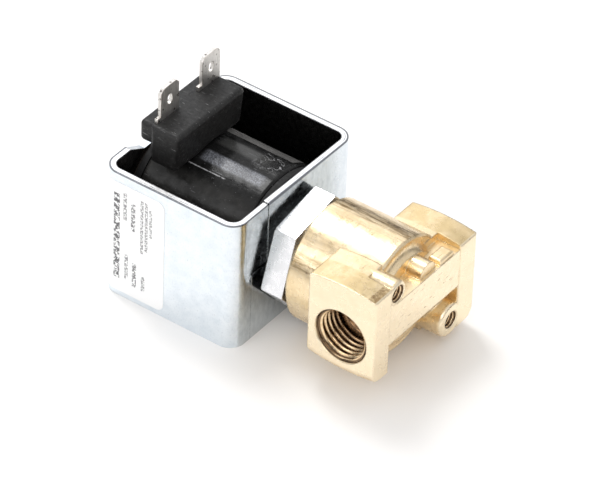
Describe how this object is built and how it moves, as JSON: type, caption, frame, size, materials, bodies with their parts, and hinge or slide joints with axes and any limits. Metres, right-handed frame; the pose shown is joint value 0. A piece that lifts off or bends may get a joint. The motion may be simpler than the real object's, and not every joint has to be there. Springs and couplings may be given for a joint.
{
  "type": "solenoid valve",
  "caption": "Direct-acting solenoid valve: brass body with threaded side ports, hex bonnet, and a tape-wrapped coil in a bent steel yoke with blade terminals.",
  "frame": {"origin": "where the solenoid axis meets the front mounting face, at the centre of the two mounting holes", "axes": "+X along the solenoid axis out of the front face, +Y from the inlet port to the outlet port, +Z towards the tips of the blade terminals"},
  "size_m": [0.0756, 0.0434, 0.051],
  "materials": {
    "brass": "satin, as forged and machined",
    "plated_nut": "bright zinc plate",
    "zinc_steel": "satin zinc plate",
    "stainless": "machined",
    "copper": "enamelled wire",
    "seal_rubber": "matte",
    "black_tape": "glossy tape",
    "black_moulding": "satin",
    "tinned_blade": "tin plate",
    "fibre": "matte",
    "white_label": "satin"
  },
  "bodies": {
    "valve": {"valve_body": "brass", "bonnet_nut": "plated_nut", "enclosing_tube": "stainless", "fixed_core": "stainless", "shading_ring": "copper", "body_o_ring": "seal_rubber", "wave_washer": "stainless", "retaining_clip": "plated_nut", "plunger_spring": "stainless"},
    "armature": {"plunger": "stainless", "plunger_seal": "seal_rubber"},
    "coil": {"yoke": "zinc_steel", "flux_bush_front": "zinc_steel", "flux_bush_rear": "zinc_steel", "insulating_washer_front": "fibre", "insulating_washer_rear": "fibre", "bobbin": "black_moulding", "coil_winding": "copper", "coil_wrap": "black_tape", "terminal_block": "black_moulding", "terminal_left": "tinned_blade", "terminal_right": "tinned_blade", "lead_left": "copper", "lead_right": "copper", "rating_label": "white_label"}
  },
  "joints": [
    {"name": "plunger_slide", "type": "slide", "parent": "valve", "child": "armature", "axis": [-1, 0, 0], "range_m": [0, 0.00175], "stiffness_N_per_m": 400, "springref_m": -0.005, "deforming": ["plunger_spring"]},
    {"name": "coil_swivel", "type": "hinge", "parent": "valve", "child": "coil", "pos_m": [-0.053, 0, 0], "axis": [1, 0, 0], "continuous": true}
  ]
}
